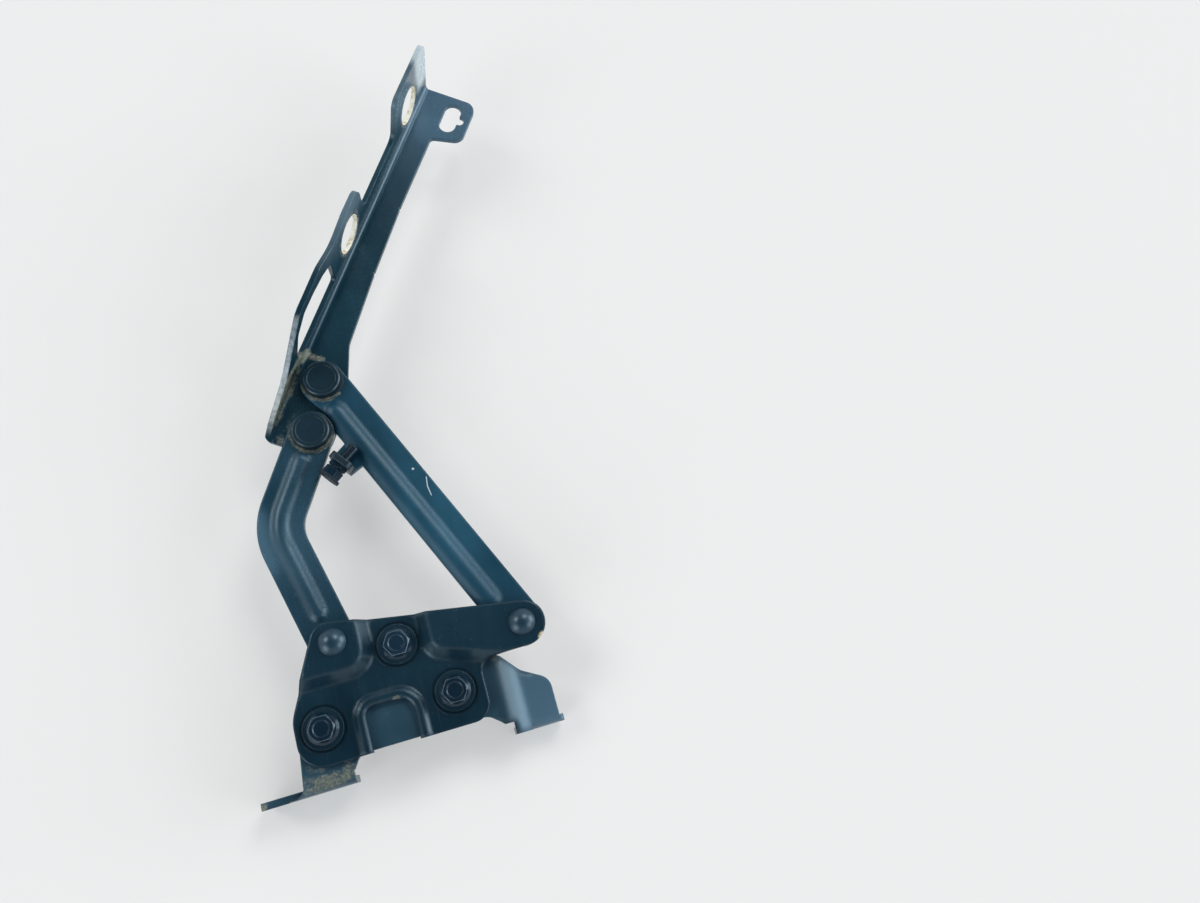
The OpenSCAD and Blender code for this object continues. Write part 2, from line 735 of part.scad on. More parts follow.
module flange_window() {
  low = arm_bend_z + 2.5;
  polygon(rounded([[51.5, low, 2], [50, low + 8, 4], [57, low + 21, 6], [69, low + 28, 8], [82, low + 28, 10],
    [96, low + 26, 6], [106.5, low + 21.5, 4], [107.5, low, 3]]));
}

// cut through the flange, drawn in its plane
module through_flange() {
  translate([0, flange_in + arm_t + 1, 0]) rotate([90, 0, 0]) linear_extrude(arm_t + 2) children();
}

module bonnet_flange() {
  difference() {
    intersection() {
      union() {
        translate([arm_low, 0, arm_bend_z]) rotate([90, 0, 90]) linear_extrude(flange_end - arm_low)
          intersection() {
            difference() {
              circle(r = arm_bend_r + arm_t);
              circle(r = arm_bend_r);
            }
            translate([0, -arm_bend_r - arm_t]) square(arm_bend_r + arm_t);
          }
        translate([arm_low, flange_in, arm_bend_z]) cube([flange_end - arm_low, arm_t, flange_h]);
      }
      translate([0, flange_in + arm_t + 1, 0]) rotate([90, 0, 0])
        linear_extrude(flange_in + arm_t + 2) flange_profile();
      slab([[arm_low, -1, 0], [flange_end, -1, 0], [flange_end, flange_in + arm_t, 0],
        [arm_low, flange_in + arm_t, 5]], web_z - 1, flange_h + arm_t + 3);
    }
    through_flange() flange_window();
    for (h = [[bonnet_hole_rear, bonnet_hole_z + bonnet_hole_step], [bonnet_hole_front, bonnet_hole_z]])
      translate([h[0], flange_in - 1, h[1]]) rotate([-90, 0, 0]) cylinder(h = arm_t + 2, d = bonnet_hole_d);
  }
}

// notched long hole in the side tab of the arm
module tab_hole() {
  translate([0, 0, web_z - 1]) linear_extrude(arm_t + 2) {
    translate([242.6, -20.8]) circle(r = 5.5);
    translate([253.6, -20.8]) circle(r = 5.5);
    translate([242.6, -26.3]) square([11, 11]);
    translate([248.4, -27]) circle(r = 3.2);
  }
}

// long hole round the front upper pin, where the linkage is opened
module open_hole() {
  r = pin_d / 2 + open_play;
  translate([0, 0, web_z - 1]) linear_extrude(arm_t + 2) translate(pivot_d_arm) rotate(slot_heading) {
    circle(r = r);
    translate([open_travel, 0]) circle(r = r);
    translate([0, -r]) square([open_travel, 2 * r]);
  }
}

module hinge_arm() {
  color("#22333f") on_arm() difference() {
    union() {
      arm_web();
      bonnet_flange();
    }
    tab_hole();
    open_hole();
    place(pivot_c_arm, web_z - 1) cylinder(h = arm_t + 2, r = pin_d / 2 + arm_bush_wall);
    translate([172, -14.6, web_z - 1]) cylinder(h = arm_t + 2, r = 1.2);
    translate([123, -16.2, web_z - 1]) cylinder(h = arm_t + 2, r = 1.2);
  }
}

body_bracket();
pivot_plate();
plate_bolt(bolt_top);  // plate_bolt_top
plate_bolt(bolt_front);  // plate_bolt_front
plate_bolt(bolt_rear);  // plate_bolt_rear
plate_washer(bolt_top);  // plate_washer_top
plate_washer(bolt_front);  // plate_washer_front
plate_washer(bolt_rear);  // plate_washer_rear
weld_nut(bolt_top);  // weld_nut_top
weld_nut(bolt_front);  // weld_nut_front
weld_nut(bolt_rear);  // weld_nut_rear
lower_rivet(pivot_a);  // rear_rivet
lower_rivet(pivot_b);  // front_rivet
lower_tail_washer(pivot_a);  // rear_rivet_washer
lower_tail_washer(pivot_b);  // front_rivet_washer
short_link();
lower_bush(pivot_a);  // short_link_bush
upper_pin(pivot_c);  // rear_pin
upper_washer(pivot_c);  // rear_pin_washer
upper_tail_washer(pivot_c);  // rear_tail_washer
long_link();
lower_bush(pivot_b);  // long_link_bush
upper_pin(pivot_d);  // front_pin
upper_washer(pivot_d);  // front_pin_washer
upper_tail_washer(pivot_d);  // front_tail_washer
front_spacer();
stop_screw();
stop_nut();
stop_pad();
hinge_arm();
arm_bush();
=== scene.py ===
import json
import math

import bmesh
import bpy
from mathutils import Euler, Matrix, Vector


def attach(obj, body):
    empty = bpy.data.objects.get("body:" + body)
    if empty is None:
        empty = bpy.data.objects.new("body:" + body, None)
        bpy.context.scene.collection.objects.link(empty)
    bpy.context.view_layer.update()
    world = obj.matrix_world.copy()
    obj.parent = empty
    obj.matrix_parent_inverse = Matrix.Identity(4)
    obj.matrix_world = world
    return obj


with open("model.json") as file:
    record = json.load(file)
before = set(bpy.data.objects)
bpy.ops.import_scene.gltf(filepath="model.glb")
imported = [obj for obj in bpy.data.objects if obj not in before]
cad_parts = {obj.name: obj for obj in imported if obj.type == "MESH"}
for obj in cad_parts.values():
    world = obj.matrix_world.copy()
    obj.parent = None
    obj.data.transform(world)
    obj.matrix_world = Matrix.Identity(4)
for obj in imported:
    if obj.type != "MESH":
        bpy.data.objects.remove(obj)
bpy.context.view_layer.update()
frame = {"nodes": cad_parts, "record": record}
nodes = frame["nodes"]
scene = bpy.context.scene

MM = 0.001
ORIGIN = Vector((0, 0, 0))
ALONG_BOLTS = Vector((1, 0, 0))
OFF_MOUNTING = Vector((0, 1, 0))
UP = Vector((0, 0, 1))

# Places on the hinge, in millimetres
FRONT_RIVET = (73.5, 58)
REAR_PIN = (-16, 198)
FRONT_PIN = (-3.5, 228)
PIN_DIRT_RADIUS = 12.6
PLATE_BOLTS = {"top": (4, 65.3), "front": (28.7, 32), "rear": (-43.6, 32)}
LINK_SCRATCH = ((41.9, 155.1), (41.3, 149.4), (42.2, 143.8))
LINK_CHIP = (35.6, 161.9)
PLATE_CHIP = (83.5, 46.6)

# Heights on the hinge, in millimetres: the floor, the bracket under its plate, the links, the plate's raised zones
# and the arm's web
FLOOR_Z = -9.2
SEAT_Z = 21
LINK_TOP = 25.5
RAISED_TOP = 31.4
WEB_TOP = 20.5

# The bonnet arm's bend line: its start, its direction, and the way out through the flange
ARM_ANGLE = math.radians(56.6)
ARM_START = Vector((-38.6, 200.4, 0)) * MM
ALONG_ARM = Vector((math.cos(ARM_ANGLE), math.sin(ARM_ANGLE), 0))
OUT_OF_FLANGE = Vector((-math.sin(ARM_ANGLE), math.cos(ARM_ANGLE), 0))

# On the arm's flange, in millimetres along the bend line and up: the bonnet holes, and the start of each run of
# the free edge at the pivot end, with its slope
BONNET_HOLES = ((133.8, 38.6), (236.5, 36.2))
BONNET_HOLE_RADIUS = 12.5
FREE_EDGE = ((4, 21.3, 0.417), (33, 33.4, 0.8603))

# The stop lug on the long link and the screw through it, in millimetres
LONG_ANGLE = math.atan2(FRONT_RIVET[1] - FRONT_PIN[1], FRONT_RIVET[0] - FRONT_PIN[0])
STOP_TILT = math.radians(13.7)
STOP_ALONG = 49.2
STOP_OUT = 21.5
STOP_Z = LINK_TOP + 4.6
LUG_HALF_WIDTH = 7.3
THREAD_START = 2.6
THREAD_LENGTH = 7.6
THREAD_RADIUS = 3
THREAD_PITCH = 1.0

# The weld round each nut behind the bracket, in millimetres
BRACKET_SHEET = 4
WELD_INNER = 9.2
WELD_OUTER = 10.9
WELD_HEIGHT = 1.3

# Colours that several finishes share
BARE = (0.42, 0.43, 0.43)
THIN_PAINT = (0.11, 0.155, 0.19)
DUST = (0.3, 0.33, 0.34)
DUST_FILM = (0.1, 0.14, 0.165)
TAN = (0.24, 0.245, 0.19)
EARTH = (0.075, 0.085, 0.07)
BLUE_GLOSS = (0.66, 0.87, 1.0)
BROWN_BLOOM = (0.11, 0.06, 0.03)

# Colours of single marks
# painted sheen with a pale haze on the arm's web towards its tip
WEB_SHEEN_AND_HAZE = (0.062, 0.128, 0.195)
# painted reflection with a pale haze on the lobes of the arm's flange
LOBE_REFLECTION_AND_HAZE = (0.15, 0.22, 0.275)
WORN_TIP = (0.46, 0.53, 0.57)
# painted highlight along the arm's free edge, with rubbed paint there
EDGE_HIGHLIGHT_AND_WEAR = (0.55, 0.6, 0.62)
HOLE_HALO = (0.27, 0.28, 0.25)
HOLE_CREAM = (0.78, 0.77, 0.68)
HOLE_RUST = (0.5, 0.38, 0.22)
CHIPPED = (0.62, 0.5, 0.33)
SCUFFED = (0.05, 0.08, 0.1)
SCRATCHED = (0.5, 0.56, 0.6)
# painted highlight round the bolts' hexagons, with paint worn thin there
HEXAGON_HIGHLIGHT_AND_WEAR = (0.16, 0.215, 0.26)
# painted sheen with a pale haze on the bracket's front tab
TAB_SHEEN_AND_HAZE = (0.07, 0.135, 0.195)
# painted sheen with a pale haze round the short link's bow
BOW_SHEEN_AND_HAZE = (0.06, 0.125, 0.18)
# painted shade over the top of the bracket's step
STEP_PAINTED_SHADE = (0.009, 0.024, 0.037)
# painted shade on the upright stop lug
LUG_PAINTED_SHADE = (0.007, 0.013, 0.02)
LONG_LINK_DARK = (0.003, 0.026, 0.05)
SHORT_LINK_DARK = (0.004, 0.022, 0.04)

# The room: what its walls show, the light they give, the ceiling, and the floor with its share of glow
BACKDROP = (0.83, 0.83, 0.83)
WALL_LIGHT = (0.52, 0.585, 0.62)
CEILING = (0.04, 0.045, 0.05)
FLOOR_PAPER = (0.742, 0.737, 0.732)
FLOOR_GLOW = 0.42
FLOOR_HALF = 3

# Soft far lights: azimuth, elevation and spread in degrees, strength and colour
WARM = (1, 0.965, 0.94)
LIGHTS = {
    "high_window": (48, 46, 26, 1.15, WARM),
    "far_window": (142, 40, 22, 1.0, WARM),
    "right_wall": (4, 14, 36, 1.7, (0.93, 0.98, 1)),
    "low_window": (-34, 26, 30, 0.8, (0.97, 0.98, 1)),
    "left_wall": (208, 22, 36, 1.1, (0.94, 0.98, 1)),
}

# The camera: place in metres, turn in degrees, lens and sensor in millimetres
CAMERA_PLACE = (0.02883, -0.00071, 0.57121)
CAMERA_TURN = (17.443, -7.438, -16.503)
CAMERA_LENS = 28.5
CAMERA_SENSOR = 36
CAMERA_NEAR = 0.01


def at(x, y, height):
    """A point in metres, given in millimetres."""
    return Vector((x, y, height)) * MM


def on_arm(along, out, height):
    """A point given along the arm's bend line, out towards the flange and up, in millimetres."""
    return ARM_START + (ALONG_ARM * along + OUT_OF_FLANGE * out + UP * height) * MM


def lug_place():
    """The frame of the stop lug, on the long link."""
    return (Matrix.Translation(at(*FRONT_PIN, 0)) @ Matrix.Rotation(LONG_ANGLE, 4, "Z")
            @ Matrix.Translation(at(STOP_ALONG, -STOP_OUT, 0)) @ Matrix.Rotation(STOP_TILT, 4, "Z"))


class Value:
    """A number or colour that varies over a surface, with the sums a finish needs."""

    def __init__(self, finish, socket):
        self.finish = finish
        self.socket = socket

    def sum_with(self, operation, first, second):
        return self.finish.node("ShaderNodeMath", {"operation": operation}, {0: first, 1: second})

    def __add__(self, other):
        return self.sum_with("ADD", self, other)

    def __radd__(self, other):
        return self.sum_with("ADD", other, self)

    def __sub__(self, other):
        return self.sum_with("SUBTRACT", self, other)

    def __rsub__(self, other):
        return self.sum_with("SUBTRACT", other, self)

    def __mul__(self, other):
        return self.sum_with("MULTIPLY", self, other)

    def __rmul__(self, other):
        return self.sum_with("MULTIPLY", other, self)

    def __truediv__(self, other):
        return self.sum_with("DIVIDE", self, other)

    def __rtruediv__(self, other):
        return self.sum_with("DIVIDE", other, self)


class Finish:
    """The nodes of a material, or of the room, in the making."""

    def __init__(self, owner, shader):
        owner.use_nodes = True
        self.material = owner
        self.tree = owner.node_tree
        self.shader = self.tree.nodes[shader]

    def node(self, kind, settings, sockets, output=0):
        made = self.tree.nodes.new(kind)
        for name, value in settings.items():
            setattr(made, name, value)
        for key, value in sockets.items():
            self.feed(made.inputs[key], value)
        return Value(self, made.outputs[output])

    def feed(self, socket, value):
        if isinstance(value, Value):
            self.tree.links.new(value.socket, socket)
        elif socket.type == "RGBA":
            socket.default_value = (*value, 1)
        else:
            socket.default_value = value

    def set(self, **sockets):
        for name, value in sockets.items():
            self.feed(self.shader.inputs[name.replace("_", " ")], value)

    def vector(self, operation, *inputs, output=0):
        """A sum with places and directions, whose output 1 is a plain number."""
        return self.node("ShaderNodeVectorMath", {"operation": operation}, dict(enumerate(inputs)), output)

    def noise(self, scale, detail, rough, stretch=None):
        """Cloudy noise, its scale in clouds a metre; a stretch is a turn and the squeeze that draws it out."""
        place = self.place
        if stretch:
            turn, squeeze = stretch
            place = self.node("ShaderNodeMapping", {},
                              {"Vector": place, "Rotation": (0, 0, turn), "Scale": (1, squeeze, 1)})
        return self.node("ShaderNodeTexNoise", {"noise_dimensions": "3D"},
                         {"Vector": place, "Scale": scale, "Detail": detail, "Roughness": rough})

    def ease(self, value, low, high):
        """0 on the low side, 1 on the high side and smooth between."""
        return self.node("ShaderNodeMapRange", {"interpolation_type": "SMOOTHSTEP"},
                         {0: value, 1: low, 2: high, 3: 0.0, 4: 1.0})

    def ease_mm(self, length, low, high):
        """The same for a length in metres, between two lengths in millimetres."""
        return self.ease(length, low * MM, high * MM)

    def most(self, *values):
        """The largest of some values."""
        largest = values[0]
        for value in values[1:]:
            largest = self.node("ShaderNodeMath", {"operation": "MAXIMUM"}, {0: largest, 1: value})
        return largest

    def mix(self, first, second, share):
        return self.node("ShaderNodeMix", {"data_type": "RGBA"}, {0: share, 6: first, 7: second}, 2)

    def reach(self, point):
        """Distance from a point, in metres."""
        return self.vector("DISTANCE", self.place, point, output=1)

    def off_line(self, start, end):
        """Distance from the line between two points, in metres."""
        line = end - start
        if line.length == 0:
            return self.reach(start)
        away = self.vector("SUBTRACT", self.place, start)
        part = self.vector("DOT_PRODUCT", away, line / line.length_squared, output=1)
        held = self.node("ShaderNodeClamp", {}, {"Value": part})
        near = self.node("ShaderNodeVectorMath", {"operation": "SCALE"}, {0: line, "Scale": held})
        return self.vector("DISTANCE", away, near, output=1)

    def near_runs(self, runs, core):
        """The weight of the nearest run, full in the core share of its width and 0 outside it."""
        return self.most(*[self.ease(self.off_line(start, end), width, width * core) * weight
                           for start, end, width, weight in runs])

    def along(self, direction, start=ORIGIN):
        """Distance along a direction from a start point, in metres."""
        return self.vector("DOT_PRODUCT", self.place, direction, output=1) - start.dot(direction)

    def round_about(self, centre, axis):
        """Distance from an axis through a centre, in metres."""
        away = self.vector("SUBTRACT", self.place, centre)
        return self.vector("LENGTH", self.vector("CROSS_PRODUCT", away, axis), output=1)

    def hexagon_reach(self, centre):
        """Distance from the axis of an upright hexagon, measured square to its nearest flat, in metres."""
        away = self.vector("SUBTRACT", self.place, centre)
        flats = []
        for turn in (30, 90, 150):
            way = (math.cos(math.radians(turn)), math.sin(math.radians(turn)), 0)
            across = self.vector("DOT_PRODUCT", away, way, output=1)
            flats.append(self.node("ShaderNodeMath", {"operation": "ABSOLUTE"}, {0: across}))
        return self.most(*flats)

    def shown(self):
        """1 where the camera sees a surface, straight, in a reflection or through something clear."""
        return self.most(*[self.node("ShaderNodeLightPath", {}, {}, ray)
                           for ray in ("Is Camera Ray", "Is Glossy Ray", "Is Transmission Ray")])

    def soft_normal(self, radius):
        """Normals rounded at the edges, with a radius in millimetres."""
        return self.node("ShaderNodeBevel", {"samples": 6}, {"Radius": radius * MM})

    def round_pressings(self, soft, runs, radius):
        """Normals rounded more widely along the runs of a pressed form."""
        return self.node("ShaderNodeMix", {"data_type": "VECTOR"},
                         {0: self.near_runs(runs, 0.7), 4: soft, 5: self.soft_normal(radius)}, 1)

    def bump(self, height, strength, depth, soft):
        """Fine relief on rounded normals, with a depth in millimetres."""
        return self.node("ShaderNodeBump", {},
                         {"Strength": strength, "Distance": depth * MM, "Height": height, "Normal": soft})

    def edges(self, soft):
        """1 on the sharp edges of a piece, 0 on its faces."""
        flat = self.node("ShaderNodeNewGeometry", {}, {}, "Normal")
        same = self.vector("DOT_PRODUCT", soft, flat, output=1)
        return self.ease(1 - same, 0.09, 0.26)

    def specks(self, scale, size, share):
        """Small round specks in a share of the cells of a grid."""
        cell = {"Vector": self.place, "Scale": scale}
        away = self.node("ShaderNodeTexVoronoi", {"feature": "F1"}, cell, "Distance")
        tint = self.node("ShaderNodeTexVoronoi", {"feature": "F1"}, cell, "Color")
        pick = self.node("ShaderNodeSeparateColor", {}, {0: tint}, 0)
        wide = self.node("ShaderNodeSeparateColor", {}, {0: tint}, 1)
        near = self.ease(away / (wide + 0.25), size * 1.6, size * 0.8)
        return near * self.ease(pick, 1 - share, 1 - share + 0.02)


def new_finish(name):
    f = Finish(bpy.data.materials.new(name), "Principled BSDF")
    f.place = f.node("ShaderNodeTexCoord", {}, {}, "Object")
    return f


def waver(noise, width):
    """A noise as a length about zero in metres, over a width in millimetres."""
    return (noise - 0.5) * (width * MM)


def dip_paint(name, deep, pale, *, rough, wear, dust, soft_edge, gloss=0.45, stains=(), marks=None,
              pressed=(), pressed_round=0):
    """Blue-black dip paint on pressed steel, with cloudy tone, dust, stains of road dirt and worn edges."""
    f = new_finish(name)
    cloud = f.noise(11, 4, 0.6)
    streak = f.noise(34, 4, 0.6, stretch=(-0.9, 0.22))
    grain = f.noise(330, 3, 0.65)
    peel = f.noise(1500, 2, 0.5)
    soft = f.soft_normal(soft_edge)
    if pressed:
        soft = f.round_pressings(soft, pressed, pressed_round)
    edge = f.edges(f.soft_normal(0.5))

    tone = f.ease(cloud * 0.6 + streak * 0.4, 0.36, 0.66)
    colour = f.mix(deep, pale, tone)
    colour = f.mix(colour, tuple(c * 0.55 for c in deep), f.ease(grain, 0.6, 0.85) * 0.6)

    # thin paint along the edges, broken by chips down to the metal
    rubbed = edge * f.ease(grain * 0.55 + cloud * 0.45, 0.62 - 0.3 * wear, 0.86 - 0.3 * wear)
    colour = f.mix(colour, THIN_PAINT, edge * 0.45 * wear)
    colour = f.mix(colour, BARE, rubbed * wear)

    # fine pale dust, thicker in cloudy patches
    motes = f.specks(620, 0.16, 0.10 + 0.16 * dust) * f.ease(streak + cloud, 0.8, 1.25)
    colour = f.mix(colour, DUST, motes * 0.55 * dust)
    film = f.ease(grain * 0.5 + cloud * 0.5, 0.5, 0.75)
    colour = f.mix(colour, DUST_FILM, film * 0.12 * dust)

    relief = peel * 0.2 + grain * 0.22
    roughness = rough + (streak - 0.5) * 0.1 + (grain - 0.5) * 0.08 + rubbed * 0.1
    if stains:
        # road dirt, broken up by finer noise; one run of it on the plate also paints a highlight
        dirt = f.near_runs(stains, 0.2)
        fine = f.noise(760, 4, 0.7)
        patch = f.noise(120, 3, 0.6)
        broken = (fine - 0.5) * 0.9 + (grain - 0.5) * 0.6 + (patch - 0.5) * 1.3
        crust = f.ease(dirt + broken, 0.3, 0.95) * f.ease(dirt, 0.02, 0.3)
        earthy = f.mix(EARTH, TAN, f.ease(fine * 0.6 + cloud * 0.4, 0.38, 0.64))
        colour = f.mix(colour, earthy, crust * 0.9)
        roughness = roughness + crust * 0.4
        relief = relief + crust * 0.8
    if marks:
        colour, roughness = marks(f, colour, roughness, grain, cloud, peel)
    f.set(Base_Color=colour, Roughness=roughness, Normal=f.bump(relief, 0.09, 0.4, soft))
    f.set(Specular_IOR_Level=gloss, Specular_Tint=BLUE_GLOSS)
    return f.material


def plain_steel(name, colour, dull, rough=0.42):
    """Phosphated or bare steel, with a fine grain, a brown bloom and bright edges."""
    f = new_finish(name)
    cloud = f.noise(60, 4, 0.6)
    grain = f.noise(700, 3, 0.6)
    soft = f.soft_normal(0.5)
    bloom = f.ease(cloud, 0.58, 0.72)
    shade = f.mix(dull, colour, f.ease(cloud * 0.6 + grain * 0.4, 0.35, 0.65))
    shade = f.mix(shade, BROWN_BLOOM, bloom * 0.5)
    shade = f.mix(shade, BARE, f.edges(soft) * 0.5)
    f.set(Base_Color=shade, Roughness=rough + (grain - 0.5) * 0.3, Metallic=0.85 - bloom * 0.6)
    f.set(Normal=f.bump(grain, 0.15, 0.3, soft))
    return f.material


def bush_bronze(name):
    """Sintered bronze of the pivot bushes, dark with old grease."""
    f = new_finish(name)
    pores = f.specks(1400, 0.2, 0.4)
    cloud = f.noise(150, 4, 0.6)
    shade = f.mix((0.23, 0.15, 0.06), (0.42, 0.3, 0.14), f.ease(cloud, 0.38, 0.62))
    shade = f.mix(shade, (0.03, 0.025, 0.02), pores * 0.7)
    f.set(Base_Color=shade, Roughness=0.36 + cloud * 0.2, Metallic=0.9)
    f.set(Normal=f.bump(1 - pores, 0.2, 0.3, f.soft_normal(0.4)))
    return f.material


def pad_rubber(name):
    """Black rubber of the stop pad, with a bloom of dust."""
    f = new_finish(name)
    grain = f.noise(900, 4, 0.7)
    cloud = f.noise(120, 3, 0.5)
    bloom = f.ease(grain * 0.5 + cloud * 0.5, 0.4, 0.66)
    shade = f.mix((0.003, 0.007, 0.012), (0.008, 0.017, 0.027), bloom)
    f.set(Base_Color=shade, Roughness=0.5 + cloud * 0.25, Normal=f.bump(grain, 0.3, 0.3, f.soft_normal(0.6)))
    f.set(Specular_IOR_Level=0.35, Specular_Tint=BLUE_GLOSS)
    return f.material


def arm_marks(f, colour, roughness, grain, cloud, peel):
    """Painted sheen and haze towards the tip, painted reflection and haze on the flange's lobes, bare walls of the
    bonnet holes, and the free edge of the bonnet arm, rubbed and with a painted highlight.
    """
    along = f.along(ALONG_ARM, ARM_START)
    height = f.along(UP)
    flange = f.ease_mm(f.along(OUT_OF_FLANGE, ARM_START), 2.2, 3)
    web = f.ease_mm(height, 26, 21)

    # painted sheen with haze: the web turns paler towards the tip
    haze_and_sheen = f.ease_mm(along + waver(cloud, 20), 140, 280)
    colour = f.mix(colour, WEB_SHEEN_AND_HAZE, haze_and_sheen * web * 0.85)
    # painted reflection with haze: the lobes of the flange turn paler too
    lobe_reflection_and_haze = f.ease_mm(height, 32, 56) * flange * f.ease(cloud, 0.3, 0.6)
    colour = f.mix(colour, LOBE_REFLECTION_AND_HAZE, lobe_reflection_and_haze * f.ease_mm(along, 90, 140) * 0.75)
    tip = f.ease_mm(along + waver(cloud, 8), 247, 256) * flange * f.ease_mm(height, 24, 34)
    colour = f.mix(colour, WORN_TIP, tip * (0.62 + grain * 0.4))

    # the sloping free edge at the pivot end, rubbed to bright metal and painted with a highlight
    runs = [(along - start * MM) * slope + rise * MM for start, rise, slope in FREE_EDGE]
    over = height - f.most(*runs)
    rubbed = f.ease_mm(over + waver(grain, 0.6), -1.4, -0.2) * flange
    rubbed = rubbed * f.ease_mm(along, 72, 50) * f.ease_mm(along, -1, 12)
    colour = f.mix(colour, EDGE_HIGHLIGHT_AND_WEAR, rubbed * f.ease(cloud + grain * 0.3, 0.4, 0.7) * 0.85)
    roughness = roughness + rubbed * 0.1

    # the inside of the bend is smoother than the flats
    inside = [on_arm(end, 1.5, WEB_TOP + 1.5) for end in (45, 250)]
    roughness = roughness - f.ease_mm(f.off_line(*inside), 4.5, 2.5) * 0.13

    # walls of the two bonnet holes
    for start, rise in BONNET_HOLES:
        ring = f.round_about(on_arm(start, 4.5, rise), OUT_OF_FLANGE)
        edge = BONNET_HOLE_RADIUS + 0.2
        wall = f.ease_mm(ring, edge, BONNET_HOLE_RADIUS + 0.05) * flange
        halo = f.ease_mm(ring, BONNET_HOLE_RADIUS + 4, edge) * flange
        halo = halo * f.ease(grain * 0.6 + cloud * 0.4, 0.4, 0.58)
        cream = f.mix(HOLE_CREAM, HOLE_RUST, f.ease(grain * 0.6 + peel * 0.4, 0.46, 0.62))
        colour = f.mix(colour, HOLE_HALO, halo * 0.7)
        colour = f.mix(colour, cream, wall)
        roughness = roughness + wall * 0.25
    return colour, roughness


def plate_marks(f, colour, roughness, grain, cloud, peel):
    """The bare chip at the lower edge of the pivot plate's front lobe, and faint rubbing all over the plate."""
    chip = f.ease_mm(f.reach(at(*PLATE_CHIP, RAISED_TOP - 0.4)), 4.2, 2.2)
    chip = chip * f.ease(grain * 0.6 + peel * 0.4, 0.4, 0.52)
    colour = f.mix(colour, CHIPPED, chip)
    scuff = f.noise(420, 3, 0.6, stretch=(0.35, 0.06))
    colour = f.mix(colour, SCUFFED, f.ease(scuff, 0.56, 0.74) * 0.12)
    return colour, roughness + chip * 0.2


def link_marks(f, colour, roughness, grain, cloud, peel):
    """A thin scratch and a chip beside it near the outer edge of the long link, its lower end and painted shade on
    its stop lug.
    """
    first, bend, last = [at(*point, LINK_TOP) for point in LINK_SCRATCH]
    line = f.most(*[f.ease_mm(f.off_line(*run), 0.45, 0.15) for run in ((first, bend), (bend, last))])
    chip = f.ease_mm(f.reach(at(*LINK_CHIP, LINK_TOP)) + waver(peel, 0.8), 0.9, 0.5)
    colour = f.mix(colour, SCRATCHED, f.most(line, chip) * 0.85)

    # the lower end is darker
    low = f.ease_mm(f.along(OFF_MOUNTING) + waver(cloud, 20), 135, 80)
    colour = f.mix(colour, LONG_LINK_DARK, low * 0.6)

    # painted shade: the upright stop lug is darker than the link it stands on
    ends = [lug_place() @ at(side, 0, LINK_TOP + 6) for side in (-LUG_HALF_WIDTH, LUG_HALF_WIDTH)]
    lug = f.ease_mm(f.off_line(*ends), 7.5, 6.2) * f.ease_mm(f.along(UP), 26.2, 27.5)
    colour = f.mix(colour, LUG_PAINTED_SHADE, lug * 0.9)
    return colour, roughness


def bracket_marks(f, colour, roughness, grain, cloud, peel):
    """The front tab is paler than the rest of the bracket, with painted sheen and haze, and the top of its step is
    darker with painted shade.
    """
    across = f.along(ALONG_BOLTS)
    # painted shade over the top of the step
    shade = f.ease_mm(across, 44, 50) * f.ease_mm(across, 59.5, 55.5)
    colour = f.mix(colour, STEP_PAINTED_SHADE, shade * 0.7)
    # painted sheen with haze on the front tab
    tab = f.ease_mm(across + waver(cloud, 4), 57.5, 62.5)
    colour = f.mix(colour, TAB_SHEEN_AND_HAZE, tab * 0.6)
    return colour, roughness


def short_marks(f, colour, roughness, grain, cloud, peel):
    """A paler painted sheen with haze round the outside of the short link's bow, and a darker lower end."""
    # painted sheen with haze round the outside of the bow
    bow = f.off_line(at(-60, 152, LINK_TOP), at(-57, 128, LINK_TOP))
    haze_and_sheen = f.ease_mm(bow + waver(cloud, 6), 15, 4)
    colour = f.mix(colour, BOW_SHEEN_AND_HAZE, haze_and_sheen * 0.75)
    low = f.ease_mm(f.along(OFF_MOUNTING) + waver(cloud, 20), 135, 100)
    colour = f.mix(colour, SHORT_LINK_DARK, low * 0.55)
    return colour, roughness


def bolt_marks(f, colour, roughness, grain, cloud, peel):
    """Painted highlight round the hexagon of each plate bolt, where the paint is also worn thin."""
    top = f.ease_mm(f.along(UP), 30.5, 31.2)
    for centre in PLATE_BOLTS.values():
        flat = f.hexagon_reach(at(*centre, 0))
        line = f.ease_mm(flat, 6.1, 6.35) * f.ease_mm(flat, 6.8, 6.6) * top
        # painted highlight along the hexagon's edges, where the paint is also worn thin
        hexagon_glint_and_wear = line * f.ease(cloud * 0.4 + grain * 0.6, 0.36, 0.58)
        colour = f.mix(colour, HEXAGON_HIGHLIGHT_AND_WEAR, hexagon_glint_and_wear * 0.6)
    return colour, roughness


def smear(points, height, width, weight):
    """A run of points at one height with its width, in millimetres, and its weight."""
    run = [at(x, y, height) for x, y in points]
    if len(run) == 1:
        run.append(run[0])
    return [(start, end, width * MM, weight) for start, end in zip(run, run[1:])]


def pin_dirt(centre, first, last):
    """Dirt round part of a pin's washer, between two headings in degrees."""
    turns = [math.radians(first + (last - first) * step / 5) for step in range(6)]
    across, up = centre
    points = [(across + PIN_DIRT_RADIUS * math.cos(a), up + PIN_DIRT_RADIUS * math.sin(a)) for a in turns]
    return smear(points, LINK_TOP + 0.5, 1.9, 0.85)


